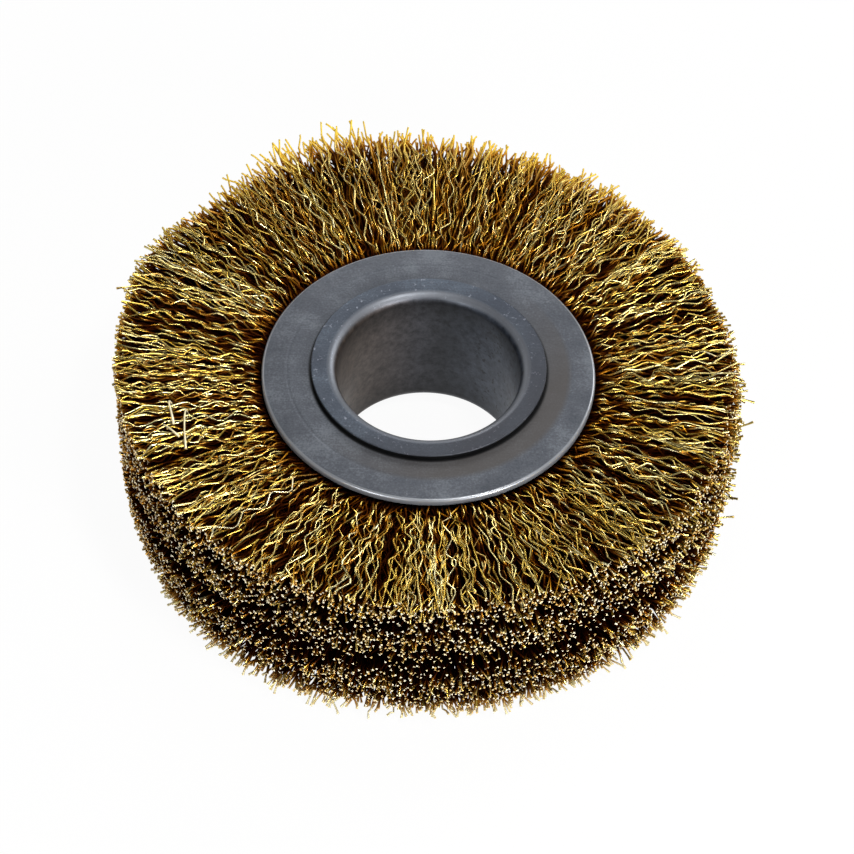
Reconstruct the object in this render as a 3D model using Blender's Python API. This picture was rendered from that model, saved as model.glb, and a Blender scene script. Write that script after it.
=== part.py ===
"""Wide crimped-wire wheel brush, lying on its side with its arbor axis along +Z.

A steel hub tube is rolled out at both ends over two stamped face plates. Between the plates
stand two rows of crimped wire, each folded over a retaining ring of its own. The origin is
the middle of the hub, and the front face looks up.
"""

import math
import random

import bmesh
import bpy
from mathutils import Matrix, Vector

MM = 0.001

# Fit: what is left between two pieces that touch on the real brush.
SEAT_GAP = 0.3 * MM

# Hub tube: the arbor hole, with each end rolled out into a flat lip.
BORE_RADIUS = 22.25 * MM
TUBE_WALL = 2.0 * MM
HUB_WIDTH = 38.1 * MM
LIP_REACH = 4.2 * MM
LIP_THICKNESS = 1.2 * MM
MOUTH_ROUNDING = 2.8 * MM
LIP_EDGE_ROUNDING = 0.45 * MM

# Face plates: stamped discs that slope down a little outside a crease.
PLATE_REACH = 16.15 * MM
PLATE_THICKNESS = 2.0 * MM
PLATE_SLOPE_WIDTH = 6.1 * MM
PLATE_SLOPE_DROP = 0.5 * MM
PLATE_EDGE_ROUNDING = 0.8 * MM

# Retaining rings: round steel wire that the brush wires are folded over.
RING_WIRE_RADIUS = 2.0 * MM
FOLD_THICKNESS = 2.7 * MM
FOLD_WINDOW_WIDTH = 2.4 * MM
FOLD_WINDOW_HEIGHT = 3.0 * MM
FOLD_WINDOWS = 12

# Wire rows: bundles of crimped wire that spread beyond the plates to a spiky rim.
BRUSH_RADIUS = 76.2 * MM
BRUSH_WIDTH = 42.4 * MM
RIM_CROWN = 2.0 * MM
ROW_PARTING_DEPTH = 9.0 * MM
ROW_PARTING_WIDTH = 8.0 * MM
CRIMP_LENGTH = 6.8 * MM
CRIMP_SHIFT = 0.75 * MM
BUNDLES_PER_QUARTER = 26
BUNDLE_HEIGHT = 1.9 * MM
BUNDLE_HEIGHT_SCATTER = 0.9 * MM
SPIKE_LENGTH = 3.4 * MM
SPIKE_SCATTER = 1.3 * MM
GROOVE_SCATTER = 0.6
RIM_BANDS = 3

# Facets
TURNED_STEPS = 48
RING_STEPS = 24
RING_SIDES = 8

# Sizes that follow from the ones above
TUBE_RADIUS = BORE_RADIUS + TUBE_WALL
LIP_RADIUS = TUBE_RADIUS + LIP_REACH
LIP_TOP = HUB_WIDTH / 2
LIP_CORNER_ROUNDING = max(MOUTH_ROUNDING - TUBE_WALL, SEAT_GAP)
PLATE_HOLE_RADIUS = TUBE_RADIUS + SEAT_GAP
PLATE_RADIUS = TUBE_RADIUS + PLATE_REACH
PLATE_TOP = LIP_TOP - LIP_THICKNESS - SEAT_GAP
PLATE_UNDERSIDE = PLATE_TOP - PLATE_THICKNESS
CREASE_RADIUS = PLATE_RADIUS - PLATE_SLOPE_WIDTH
ROW_INNER_RADIUS = TUBE_RADIUS + SEAT_GAP
ROW_FOOT = SEAT_GAP / 2
ROW_SHOULDER = PLATE_UNDERSIDE - SEAT_GAP
RING_RADIUS = ROW_INNER_RADIUS + FOLD_THICKNESS + RING_WIRE_RADIUS
RING_HEIGHT = (ROW_FOOT + ROW_SHOULDER) / 2
RIM_TOP = BRUSH_WIDTH / 2
RIM_CORNER_RADIUS = BRUSH_RADIUS - RIM_CROWN


def principled(name, colour, roughness, metallic):
    """A material with one Principled shader; colour is linear RGB."""
    material = bpy.data.materials.new(name)
    material.use_nodes = True
    shader = material.node_tree.nodes["Principled BSDF"]
    shader.inputs["Base Color"].default_value = (*colour, 1.0)
    shader.inputs["Roughness"].default_value = roughness
    shader.inputs["Metallic"].default_value = metallic
    material.diffuse_color = (*colour, 1.0)
    return material


def add_object(name, mesh, parent, material=None):
    """An object with this mesh, linked to the scene and carried by parent."""
    obj = bpy.data.objects.new(name, mesh)
    bpy.context.scene.collection.objects.link(obj)
    obj.parent = parent
    if material:
        mesh.materials.append(material)
    return obj


def shade_round(mesh):
    mesh.shade_smooth()
    mesh.set_sharp_from_angle(angle=math.radians(35))


def as_cutter(obj):
    obj.hide_render = True
    obj.display_type = "WIRE"


def cut(obj, cutter, name):
    boolean = obj.modifiers.new(name, "BOOLEAN")
    boolean.operation = "DIFFERENCE"
    boolean.solver = "EXACT"
    boolean.object = cutter


def arc(centre, radius, start_deg, end_deg, steps):
    """Points (r, z) on a circle round centre, both ends included."""
    angles = [math.radians(start_deg + (end_deg - start_deg) * i / steps) for i in range(steps + 1)]
    return [(centre[0] + radius * math.cos(a), centre[1] + radius * math.sin(a)) for a in angles]


def turned(name, profile, parent, material):
    """Spins a closed (r, z) outline round the Z axis, as a lathe would."""
    mesh = bpy.data.meshes.new(name)
    shape = bmesh.new()
    points = [shape.verts.new((r, 0.0, z)) for r, z in profile]
    edges = [shape.edges.new((a, b)) for a, b in zip(points, points[1:] + points[:1])]
    bmesh.ops.spin(
        shape,
        geom=points + edges,
        axis=(0, 0, 1),
        angle=math.tau,
        steps=TURNED_STEPS,
        use_merge=True,
    )
    bmesh.ops.recalc_face_normals(shape, faces=shape.faces[:])
    shape.to_mesh(mesh)
    shape.free()
    shade_round(mesh)
    return add_object(name, mesh, parent, material)


def hub_profile():
    """Bore wall, rounded mouth, flat lip and its underside, then the same below."""
    mouth_centre = (BORE_RADIUS + MOUTH_ROUNDING, LIP_TOP - MOUTH_ROUNDING)
    edge_centre = (LIP_RADIUS - LIP_EDGE_ROUNDING, LIP_TOP - LIP_EDGE_ROUNDING)
    corner_centre = (
        TUBE_RADIUS + LIP_CORNER_ROUNDING,
        LIP_TOP - LIP_THICKNESS - LIP_CORNER_ROUNDING,
    )
    upper = arc(mouth_centre, MOUTH_ROUNDING, 180, 90, 4)
    upper += arc(edge_centre, LIP_EDGE_ROUNDING, 90, 0, 1)
    upper.append((LIP_RADIUS, LIP_TOP - LIP_THICKNESS))
    upper += arc(corner_centre, LIP_CORNER_ROUNDING, 90, 180, 1)
    return upper + [(r, -z) for r, z in reversed(upper)]


def plate_profile():
    """One plate with its outer face at z = 0, chamfered at the hole to clear the lip's corner."""
    slope_bottom = -PLATE_SLOPE_DROP - PLATE_THICKNESS
    edge_centre = (PLATE_RADIUS - PLATE_EDGE_ROUNDING, -PLATE_SLOPE_DROP - PLATE_EDGE_ROUNDING)
    return [
        (PLATE_HOLE_RADIUS, -PLATE_THICKNESS),
        (PLATE_HOLE_RADIUS, -LIP_CORNER_ROUNDING),
        (PLATE_HOLE_RADIUS + LIP_CORNER_ROUNDING, 0.0),
        (CREASE_RADIUS, 0.0),
        *arc(edge_centre, PLATE_EDGE_ROUNDING, 90, 0, 2),
        (PLATE_RADIUS, slope_bottom),
        (CREASE_RADIUS, -PLATE_THICKNESS),
    ]


def face_height(radius):
    """How high the wires stand over a radius outside the plate: they rise steeply, then level out."""
    edge = ROW_SHOULDER - PLATE_SLOPE_DROP
    share = (radius - PLATE_RADIUS) / (RIM_CORNER_RADIUS - PLATE_RADIUS)
    return edge + (RIM_TOP - edge) * math.sqrt(share)


def row_section(side, sway, spread, gap):
    """One column of the row as points (r, z, turn), from the hub out over the face, down the
    rim and back in along the parting.

    side is +1 on the crest of a bundle and -1 in the groove beside it. sway is +1 or -1, the
    way the bundle's first crimp leans. spread, from 0 to 1, sets that bundle apart from the
    rest in height, reach and crimp, and gap, from 0 to 1, does so for the groove's depth.
    turn is the angle that the crimp carries the point by.
    """
    crest = (side + 1) / 2
    depth = 1 + GROOVE_SCATTER * (2 * gap - 1)
    hollow = -SPIKE_LENGTH * depth
    spike = SPIKE_SCATTER * spread * crest + hollow * (1 - crest)
    groove = -BUNDLE_HEIGHT * depth
    relief = BUNDLE_HEIGHT_SCATTER * (spread - 1) * crest + groove * (1 - crest)
    points = [
        (ROW_INNER_RADIUS, ROW_SHOULDER, 0.0),
        (CREASE_RADIUS, ROW_SHOULDER, 0.0),
        (PLATE_RADIUS, ROW_SHOULDER - PLATE_SLOPE_DROP, 0.0),
    ]
    crimps = max(2, round((RIM_CORNER_RADIUS - PLATE_RADIUS) / CRIMP_LENGTH))
    for crimp in range(1, crimps):
        radius = PLATE_RADIUS + (RIM_CORNER_RADIUS - PLATE_RADIUS) * crimp / crimps
        turn = sway * (-1) ** crimp * (0.6 + 0.4 * spread) * CRIMP_SHIFT / BRUSH_RADIUS
        points.append((radius, face_height(radius) + relief, turn))
    points.append((RIM_CORNER_RADIUS + spike, RIM_TOP + groove * (1 - crest), 0.0))
    for band in range(1, RIM_BANDS):
        height = RIM_TOP + (ROW_PARTING_WIDTH / 2 - RIM_TOP) * band / (RIM_BANDS - 1)
        rim = BRUSH_RADIUS - RIM_CROWN * (height / RIM_TOP) ** 2
        tip = crest if band % 2 == 0 else 1 - crest
        points.append((rim + SPIKE_SCATTER * spread * tip + hollow * (1 - tip), height, 0.0))
    points.append((BRUSH_RADIUS - ROW_PARTING_DEPTH, ROW_FOOT, 0.0))
    points.append((ROW_INNER_RADIUS, ROW_FOOT, 0.0))
    return points


def wire_row_mesh():
    """A closed ring of crimped bundles. The bundles of one quarter repeat in the other three,
    so that the wheel stays in balance."""
    chance = random.Random(7)
    bundles = [
        (chance.choice((-1, 1)), chance.random(), chance.random()) for _ in range(BUNDLES_PER_QUARTER)
    ]
    columns = 4 * 2 * BUNDLES_PER_QUARTER
    mesh = bpy.data.meshes.new("wire_row")
    shape = bmesh.new()
    grid = []
    for column in range(columns):
        side = 1 if column % 2 == 0 else -1
        bundle = bundles[column // 2 % BUNDLES_PER_QUARTER]
        line = []
        for radius, height, turn in row_section(side, *bundle):
            angle = math.tau * column / columns + turn
            line.append(shape.verts.new((radius * math.cos(angle), radius * math.sin(angle), height)))
        grid.append(line)
    rim = range(len(grid[0]) - 2 - RIM_BANDS, len(grid[0]) - 2)
    for column in range(columns):
        left, right = grid[column], grid[(column + 1) % columns]
        for near in range(len(left)):
            far = (near + 1) % len(left)
            corners = (left[near], left[far], right[far], right[near])
            if near not in rim:
                shape.faces.new(corners)
                continue
            # On the rim, tips and hollows alternate both ways, and the quad folds from hollow
            # to hollow, so that every tip is a point of its own.
            fold = (column + near - rim.start) % 2
            a, b, c, d = corners[1 - fold :] + corners[: 1 - fold]
            shape.faces.new((a, b, c))
            shape.faces.new((a, c, d))
    bmesh.ops.recalc_face_normals(shape, faces=shape.faces[:])
    shape.to_mesh(mesh)
    shape.free()
    return mesh


def ring_torus(name, wire_radius, parent):
    bpy.ops.mesh.primitive_torus_add(
        major_segments=RING_STEPS,
        minor_segments=RING_SIDES,
        major_radius=RING_RADIUS,
        minor_radius=wire_radius,
    )
    torus = bpy.context.active_object
    torus.name = name
    torus.parent = parent
    torus.location.z = RING_HEIGHT
    return torus


def fold_windows(name, parent):
    """Small blocks, evenly round the hub, that leave gaps between the folded wires."""
    depth = RING_RADIUS - ROW_INNER_RADIUS + SEAT_GAP
    mesh = bpy.data.meshes.new(name)
    shape = bmesh.new()
    size = Matrix.Diagonal(Vector((depth, FOLD_WINDOW_WIDTH, FOLD_WINDOW_HEIGHT, 1.0)))
    place = Matrix.Translation((RING_RADIUS - depth / 2, 0.0, RING_HEIGHT))
    for number in range(FOLD_WINDOWS):
        turn = Matrix.Rotation(math.tau * number / FOLD_WINDOWS, 4, "Z")
        bmesh.ops.create_cube(shape, size=1.0, matrix=turn @ place @ size)
    shape.to_mesh(mesh)
    shape.free()
    return add_object(name, mesh, parent)


def wire_row(side, side_axis, wire_material, steel_material):
    """One row of wires, its retaining ring and the hollow that the ring lies in."""
    row = add_object(f"{side}_wire_row", wire_row_mesh(), side_axis, wire_material)
    ring = ring_torus(f"{side}_retaining_ring", RING_WIRE_RADIUS, side_axis)
    ring.data.materials.append(steel_material)
    shade_round(ring.data)
    seat = ring_torus(f"{side}_ring_seat", RING_WIRE_RADIUS + SEAT_GAP, side_axis)
    windows = fold_windows(f"{side}_fold_windows", side_axis)
    for cutter, name in ((seat, "Ring seat"), (windows, "Gaps in the fold")):
        as_cutter(cutter)
        cut(row, cutter, name)


def side_empty(name, parent, turned_over):
    """Carries one side of the wheel. The rear side is the front one turned over about X."""
    empty = bpy.data.objects.new(name, None)
    bpy.context.scene.collection.objects.link(empty)
    empty.parent = parent
    empty.rotation_euler.x = math.pi if turned_over else 0.0
    return empty


def main():
    for obj in list(bpy.data.objects):
        bpy.data.objects.remove(obj, do_unlink=True)
    hub_steel = principled("Hub tube steel", (0.105, 0.115, 0.135), 0.38, 1.0)
    plate_steel = principled("Face plate steel", (0.125, 0.135, 0.155), 0.45, 1.0)
    ring_steel = principled("Retaining ring steel", (0.28, 0.28, 0.29), 0.4, 1.0)
    brassed_wire = principled("Brass-coated wire", (0.52, 0.32, 0.05), 0.35, 1.0)

    axis = side_empty("arbor_axis", None, False)
    turned("hub_tube", hub_profile(), axis, hub_steel)
    for side, turned_over in (("front", False), ("rear", True)):
        side_axis = side_empty(f"{side}_side", axis, turned_over)
        plate = turned(f"{side}_plate", plate_profile(), side_axis, plate_steel)
        plate.location.z = PLATE_TOP
        wire_row(side, side_axis, brassed_wire, ring_steel)


main()
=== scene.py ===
# Wide crimped-wire wheel brush on a pale studio floor.
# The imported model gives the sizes; this script turns the hub parts finely, grows every wire
# of the two rows and gives each surface its finish.

import math
import random

import bpy
import numpy as np
from mathutils import Matrix, Vector


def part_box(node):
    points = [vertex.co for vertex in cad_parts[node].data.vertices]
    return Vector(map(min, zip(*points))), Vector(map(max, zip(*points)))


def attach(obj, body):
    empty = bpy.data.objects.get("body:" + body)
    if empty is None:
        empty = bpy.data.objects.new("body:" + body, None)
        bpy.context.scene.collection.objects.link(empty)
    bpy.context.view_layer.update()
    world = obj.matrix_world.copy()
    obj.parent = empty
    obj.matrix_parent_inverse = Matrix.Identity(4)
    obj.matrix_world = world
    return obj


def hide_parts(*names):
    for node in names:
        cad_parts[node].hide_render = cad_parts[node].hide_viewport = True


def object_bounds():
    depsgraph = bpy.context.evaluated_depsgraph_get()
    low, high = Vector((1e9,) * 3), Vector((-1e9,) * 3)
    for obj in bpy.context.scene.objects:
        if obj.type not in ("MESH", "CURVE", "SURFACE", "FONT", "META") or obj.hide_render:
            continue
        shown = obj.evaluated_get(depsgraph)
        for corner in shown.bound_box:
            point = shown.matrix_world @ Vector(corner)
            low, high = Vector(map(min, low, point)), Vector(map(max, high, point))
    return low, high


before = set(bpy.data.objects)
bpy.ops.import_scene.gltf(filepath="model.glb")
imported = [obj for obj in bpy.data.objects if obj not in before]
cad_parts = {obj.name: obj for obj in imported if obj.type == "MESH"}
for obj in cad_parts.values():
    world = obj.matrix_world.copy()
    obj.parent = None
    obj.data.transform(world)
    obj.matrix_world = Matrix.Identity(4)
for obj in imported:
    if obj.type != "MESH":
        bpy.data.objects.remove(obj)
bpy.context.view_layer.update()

mm = 0.001
rng = np.random.default_rng(41)

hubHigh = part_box("hub_tube")[1]
plateLow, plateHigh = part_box("front_plate")
ringLow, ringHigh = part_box("front_retaining_ring")
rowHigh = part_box("front_wire_row")[1]
print("frame read, plate radius", round(plateHigh.x / mm, 2), "mm")


# Helpers for colours, nodes and meshes

def linearColour(hexColour):
    # each sRGB channel c turns to ((c + 0.055) / 1.055) ** 2.4, or c / 12.92 when it is dark
    channels = [int(hexColour[i:i + 2], 16) / 255 for i in (1, 3, 5)]
    return [*(c / 12.92 if c <= 0.04045 else ((c + 0.055) / 1.055) ** 2.4 for c in channels), 1.0]


def startMaterial(name, metallic, roughness):
    material = bpy.data.materials.new(name)
    material.use_nodes = True
    shader = material.node_tree.nodes["Principled BSDF"]
    shader.inputs["Metallic"].default_value = metallic
    shader.inputs["Roughness"].default_value = roughness
    return material, material.node_tree, shader


def addNode(tree, kind, settings=None, links=None):
    # adds a node: settings fill its properties or sockets by name, links join a socket to its source
    node = tree.nodes.new("ShaderNode" + kind)
    for key, value in (settings or {}).items():
        if isinstance(key, str) and hasattr(node, key):
            setattr(node, key, value)
        elif key == "stops":
            while len(node.color_ramp.elements) < len(value):
                node.color_ramp.elements.new(0.5)
            for element, (position, colour) in zip(node.color_ramp.elements, value):
                element.position = position
                element.color = linearColour(colour)
        else:
            node.inputs[key].default_value = value
    for key, source in (links or {}).items():
        tree.links.new(source, node.inputs[key])
    return node.outputs[0] if kind != "TexCoord" else node.outputs["Object"]


def addPiece(name, mesh, node, slot, *materials):
    # a new piece at the origin that stands for a CAD node
    piece = bpy.data.objects.new(name, mesh)
    bpy.context.scene.collection.objects.link(piece)
    for material in materials:
        mesh.materials.append(material)
    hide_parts(node)
    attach(piece, "root")
    return piece


# Turned hub parts

def arcPoints(centreR, centreZ, radius, startDeg, endDeg, count):
    # (r, z) = centre + radius * (cos a, sin a), a going evenly from start to end
    a = np.radians(np.linspace(startDeg, endDeg, count))
    return np.stack([centreR + radius * np.cos(a), centreZ + radius * np.sin(a)], axis=1)


def turnedMesh(name, profile, steps, waver=0.0):
    # (x, y, z) = (r cos t, r sin t, z + waver * (sin(3t + 0.4) + sin(7t + 2.1)) / 2), t round the axis
    t = np.linspace(0, math.tau, steps, endpoint=False)[:, None]
    r, z = profile[None, :, 0], profile[None, :, 1]
    lift = waver * (np.sin(3 * t + 0.4) + np.sin(7 * t + 2.1)) / 2
    grid = np.stack(np.broadcast_arrays(r * np.cos(t), r * np.sin(t), z + lift), axis=-1)
    index = np.arange(grid.size // 3).reshape(grid.shape[:2])
    onward, beside = np.roll(index, -1, axis=0), np.roll(index, -1, axis=1)
    across = np.roll(onward, -1, axis=1)
    faces = np.stack([index, onward, across, beside], axis=-1).reshape(-1, 4)
    mesh = bpy.data.meshes.new(name)
    mesh.from_pydata(grid.reshape(-1, 3), [], faces)
    mesh.shade_smooth()
    mesh.set_sharp_from_angle(angle=math.radians(50))
    return mesh


hubTube = {
    "boreRadius": 22.25 * mm,
    "wall": 2.0 * mm,
    "mouthRounding": 2.8 * mm,
    "lipThickness": 1.2 * mm,
    "lipEdgeRounding": 0.22 * mm,
    "steps": 240,
}


def hubProfile(hub):
    # bore wall, quarter circle over the mouth, flat lip, rounded edge, underside, then its mirror image
    top, lipRadius = hubHigh.z, hubHigh.x
    bore, mouth, edge = hub["boreRadius"], hub["mouthRounding"], hub["lipEdgeRounding"]
    tubeRadius = bore + hub["wall"]
    corner = mouth - hub["wall"]
    under = top - hub["lipThickness"]
    wallHeights = np.linspace(0, top - mouth, 7)[:-1]
    lipRadii = np.linspace(bore + mouth, lipRadius - edge, 8)[1:-1]
    upper = np.concatenate([
        np.stack([np.full(len(wallHeights), bore), wallHeights], axis=1),
        arcPoints(bore + mouth, top - mouth, mouth, 180, 90, 14),
        np.stack([lipRadii, np.full(len(lipRadii), top)], axis=1),
        arcPoints(lipRadius - edge, top - edge, edge, 90, 0, 7),
        [[lipRadius, under]],
        arcPoints(tubeRadius + corner, under - corner, corner, 90, 180, 6),
    ])
    mirrored = upper[:0:-1] * np.array([1, -1])
    return np.concatenate([upper, mirrored])


facePlate = {
    "thickness": 2.0 * mm,
    "slopeWidth": 6.1 * mm,
    "slopeDrop": 0.5 * mm,
    "creaseDepth": 0.08 * mm,
    "creaseWidth": 0.35 * mm,
    "edgeRounding": 0.8 * mm,
    "holeGap": 0.3 * mm,
    "holeChamfer": 0.8 * mm,
    "waver": 0.05 * mm,
    "steps": 240,
}


def plateProfile(plate, side):
    # face with a fine pressed groove where it starts to slope, round rim, underside and hole
    outer, top = plateHigh.x, plateHigh.z
    edge, drop, chamfer = plate["edgeRounding"], plate["slopeDrop"], plate["holeChamfer"]
    hole = hubTube["boreRadius"] + hubTube["wall"] + plate["holeGap"]
    crease = outer - plate["slopeWidth"]
    radii = np.concatenate([
        np.linspace(hole + chamfer, crease - 1.0 * mm, 8),
        np.linspace(crease - 0.9 * mm, crease + 0.9 * mm, 13),
        np.linspace(crease + 1.2 * mm, outer - edge - 0.1 * mm, 8),
    ])
    slope = np.clip((radii - crease) / (outer - edge - crease), 0, 1) * drop
    groove = plate["creaseDepth"] * np.exp(-((radii - crease) / plate["creaseWidth"]) ** 2)
    under = top - plate["thickness"]
    profile = np.concatenate([
        np.stack([radii, top - slope - groove], axis=1),
        arcPoints(outer - edge, top - drop - edge, edge, 90, 0, 8),
        arcPoints(outer - 0.4 * mm, under - drop + 0.4 * mm, 0.4 * mm, 0, -90, 4),
        [[crease, under], [hole, under], [hole, top - chamfer]],
    ])
    return profile if side > 0 else profile[::-1] * np.array([1, -1])


# the marks on the steel: their sizes and shares, and offsets from an edge where each starts and is full
steelMarks = {
    "cloudSize": 12 * mm,
    "cloudRoughening": (-0.06, 0.08),
    "grainSize": 0.5 * mm,
    "grainShare": 0.5,
    "grainRelief": 0.06 * mm,
    "grainBump": 0.3,
    "speckSize": 1.1 * mm,
    "speckEdge": 0.07,
    "ringSpacing": 0.6 * mm,
    "ringRelief": 0.04 * mm,
    "scratchSize": (7 * mm, 0.35 * mm, 7 * mm),
    "scratchTurn": 0.6,
    "scratchShare": 0.16,
    "stainByCrease": (0.6 * mm, -0.8 * mm),
    "stainAcross": (-5 * mm, 35 * mm),
    "stainMost": 0.7,
    "insideBore": (1.4 * mm, 0.1 * mm),
    "sidesAcross": (-20 * mm, 18 * mm),
    "noiseRange": (0.3, 0.7),
    "blotchSize": 1.8 * mm,
    "blotchShade": (0.45, 1.4),
    "pitSize": 1.3 * mm,
    "pitEdge": (0.64, 0.68),
    "pitShade": 0.3,
    "pitsAcross": (9 * mm, 14 * mm),
    "throatStart": (-0.55 * hubTube["mouthRounding"], -0.95 * hubTube["mouthRounding"]),
    "throatEnd": (-11 * mm, -hubTube["mouthRounding"]),
    "throatShade": 0.45,
    "underLip": (-0.2 * mm, -0.45 * mm),
    "besideLip": (0.9 * mm, 0.35 * mm),
    "pastMouth": (2.9 * mm, 3.2 * mm),
    "plateRim": (-0.75 * mm, -0.45 * mm),
    "plateRimPolish": -0.2,
    "mouthInner": (0.35 * mm, 0.9 * mm),
    "mouthOuter": (2.6 * mm, 1.6 * mm),
}


def steelMaterial(name, steel, marks):
    # Cold-rolled low-carbon steel left as pressed, under a thin dark oxide: a blue-grey satin metal.
    # Handling and oil give it slow clouds 12 mm across and a brownish stain inside the crease,
    # rolling leaves grain of 0.5 mm and faint scratches 7 mm long, the spinning tool leaves rings
    # 0.6 mm apart, and bare specks shine where something has knocked it. The lip's edge and the joint
    # under it, with the plate close beside it, are painted near black as shade. The bore has blotches,
    # pits on one side and painted light and shade by side, lighter brownish on the left, darkest just
    # right of the middle and blue-grey on the right, with painted shade in its throat under the mouth.
    # The plate's rim is rubbed pale, and the bore's mouth has a painted pale sheen.
    material, tree, shader = startMaterial(name, steel["metallic"], steel["roughness"])
    place = addNode(tree, "TexCoord")
    addNode(tree, "SeparateXYZ", links={"Vector": place})
    across, deep, height = (tree.nodes[-1].outputs[axis] for axis in "XYZ")
    flat = addNode(tree, "VectorMath", {"operation": "MULTIPLY", 1: (1, 1, 0)}, {0: place})
    addNode(tree, "VectorMath", {"operation": "LENGTH"}, {0: flat})
    radius = tree.nodes[-1].outputs["Value"]
    depth = addNode(tree, "Math", {"operation": "ABSOLUTE"}, {0: height})
    bore, lip, top = hubTube["boreRadius"], hubHigh.x, hubHigh.z

    def noise(size, detail, source, roughness=0.5):
        settings = {"Scale": 1 / size, "Detail": detail, "Roughness": roughness}
        return addNode(tree, "TexNoise", settings, {"Vector": source})

    def ramp(source, limits, low=0.0, high=1.0):
        settings = {"From Min": limits[0], "From Max": limits[1], "To Min": low, "To Max": high}
        return addNode(tree, "MapRange", settings, {"Value": source})

    def rampFrom(edge, source, offsets):
        return ramp(source, (edge + offsets[0], edge + offsets[1]))

    def product(first, second):
        return addNode(tree, "Math", {"operation": "MULTIPLY"}, {0: first, 1: second})

    def addedTo(ground, share, source):
        settings = {"operation": "MULTIPLY_ADD", 1: share}
        return addNode(tree, "Math", settings, {0: source, 2: ground})

    def painted(ground, colour, share):
        settings = {"Color2": linearColour(colour)}
        return addNode(tree, "MixRGB", settings, {"Fac": share, "Color1": ground})

    def shadedBy(ground, shade):
        settings = {"blend_type": "MULTIPLY", 0: 1.0}
        return addNode(tree, "MixRGB", settings, {"Color1": ground, "Color2": shade})

    cloud = noise(marks["cloudSize"], 6, place, 0.6)
    grain = noise(marks["grainSize"], 2, place)
    speck = noise(marks["speckSize"], 3, place, 0.7)
    rings = noise(marks["ringSpacing"], 2, addNode(tree, "CombineXYZ", links={"X": radius}))
    scratchScale = [1 / size for size in marks["scratchSize"]]
    scratchSettings = {"Rotation": (0, 0, marks["scratchTurn"]), "Scale": scratchScale}
    scratch = noise(1, 2, addNode(tree, "Mapping", scratchSettings, {"Vector": place}))

    grainy = addedTo(cloud, marks["grainShare"], grain)
    scratched = addedTo(grainy, marks["scratchShare"], scratch)
    tones = [(0.6, steel["dark"]), (0.84, steel["middle"]), (1.0, steel["light"])]
    base = addNode(tree, "ValToRGB", {"stops": tones}, {"Fac": scratched})
    knocked = rampFrom(steel["specks"], speck, (0, marks["speckEdge"]))
    specked = painted(base, steel["bare"], knocked)

    sideways = addedTo(across, -1.0, deep)
    stainSide = ramp(sideways, marks["stainAcross"], 0.0, marks["stainMost"])
    creaseRadius = plateHigh.x - facePlate["slopeWidth"]
    stained = product(rampFrom(creaseRadius, radius, marks["stainByCrease"]), stainSide)
    oily = painted(specked, steel["stain"], stained)

    # painted light and shade by side of the bore: lighter brownish on the left, darkest just right of the
    # middle, blue-grey on the right
    sideTones = [
        (0.0, "#554A42"), (0.45, "#45454A"), (0.62, "#34363B"), (0.76, "#3D4149"), (1.0, "#464D59"),
    ]
    boreSides = addNode(tree, "ValToRGB", {"stops": sideTones}, {"Fac": ramp(across, marks["sidesAcross"])})
    blotch = ramp(noise(marks["blotchSize"], 4, place, 0.7), marks["noiseRange"], *marks["blotchShade"])
    pit = ramp(noise(marks["pitSize"], 1, place), marks["pitEdge"])
    pitted = product(pit, ramp(across, marks["pitsAcross"]))
    blotched = shadedBy(boreSides, product(blotch, ramp(pitted, (0, 1), 1.0, marks["pitShade"])))
    # painted shade in the throat, just under the mouth's rounding and fading out 11 mm down
    throat = product(rampFrom(top, depth, marks["throatStart"]), rampFrom(top, depth, marks["throatEnd"]))
    throatShaded = shadedBy(blotched, ramp(throat, (0, 1), 1.0, marks["throatShade"]))
    inBore = rampFrom(bore, radius, marks["insideBore"])
    lined = addNode(tree, "MixRGB", links={"Fac": inBore, "Color1": oily, "Color2": throatShaded})

    # painted shade: the lip's edge, the joint under it and the plate close beside it go near black
    below = rampFrom(top, depth, marks["underLip"])
    nearLip = rampFrom(lip, radius, marks["besideLip"])
    outside = rampFrom(bore, radius, marks["pastMouth"])
    lipShaded = painted(lined, "#0C0D0F", product(product(below, nearLip), outside))
    plateRim = rampFrom(plateHigh.x, radius, marks["plateRim"])
    mouthInner = rampFrom(bore, radius, marks["mouthInner"])
    # painted pale sheen on the bore's mouth rounding (hub only); the plate's rim is rubbed pale
    overMouth = product(mouthInner, rampFrom(bore, radius, marks["mouthOuter"]))
    rubbedRimAndSheen = addedTo(plateRim, steel["mouthShine"], overMouth)
    tree.links.new(painted(lipShaded, steel["wearAndSheen"], rubbedRimAndSheen), shader.inputs["Base Color"])

    smoother, rougher = marks["cloudRoughening"]
    limits = steel["roughness"] + smoother, steel["roughness"] + rougher
    patchy = ramp(cloud, marks["noiseRange"], *limits)
    polished = ramp(plateRim, (0, 1), 0, marks["plateRimPolish"])
    rough = addNode(tree, "Math", {"operation": "ADD"}, {0: patchy, 1: polished})
    tree.links.new(rough, shader.inputs["Roughness"])
    ringSettings = {"Strength": steel["spinMarks"], "Distance": marks["ringRelief"]}
    ringBump = addNode(tree, "Bump", ringSettings, {"Height": rings})
    grainSettings = {"Strength": marks["grainBump"], "Distance": marks["grainRelief"]}
    grainBump = addNode(tree, "Bump", grainSettings, {"Height": speck, "Normal": ringBump})
    tree.links.new(grainBump, shader.inputs["Normal"])
    return material


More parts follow.
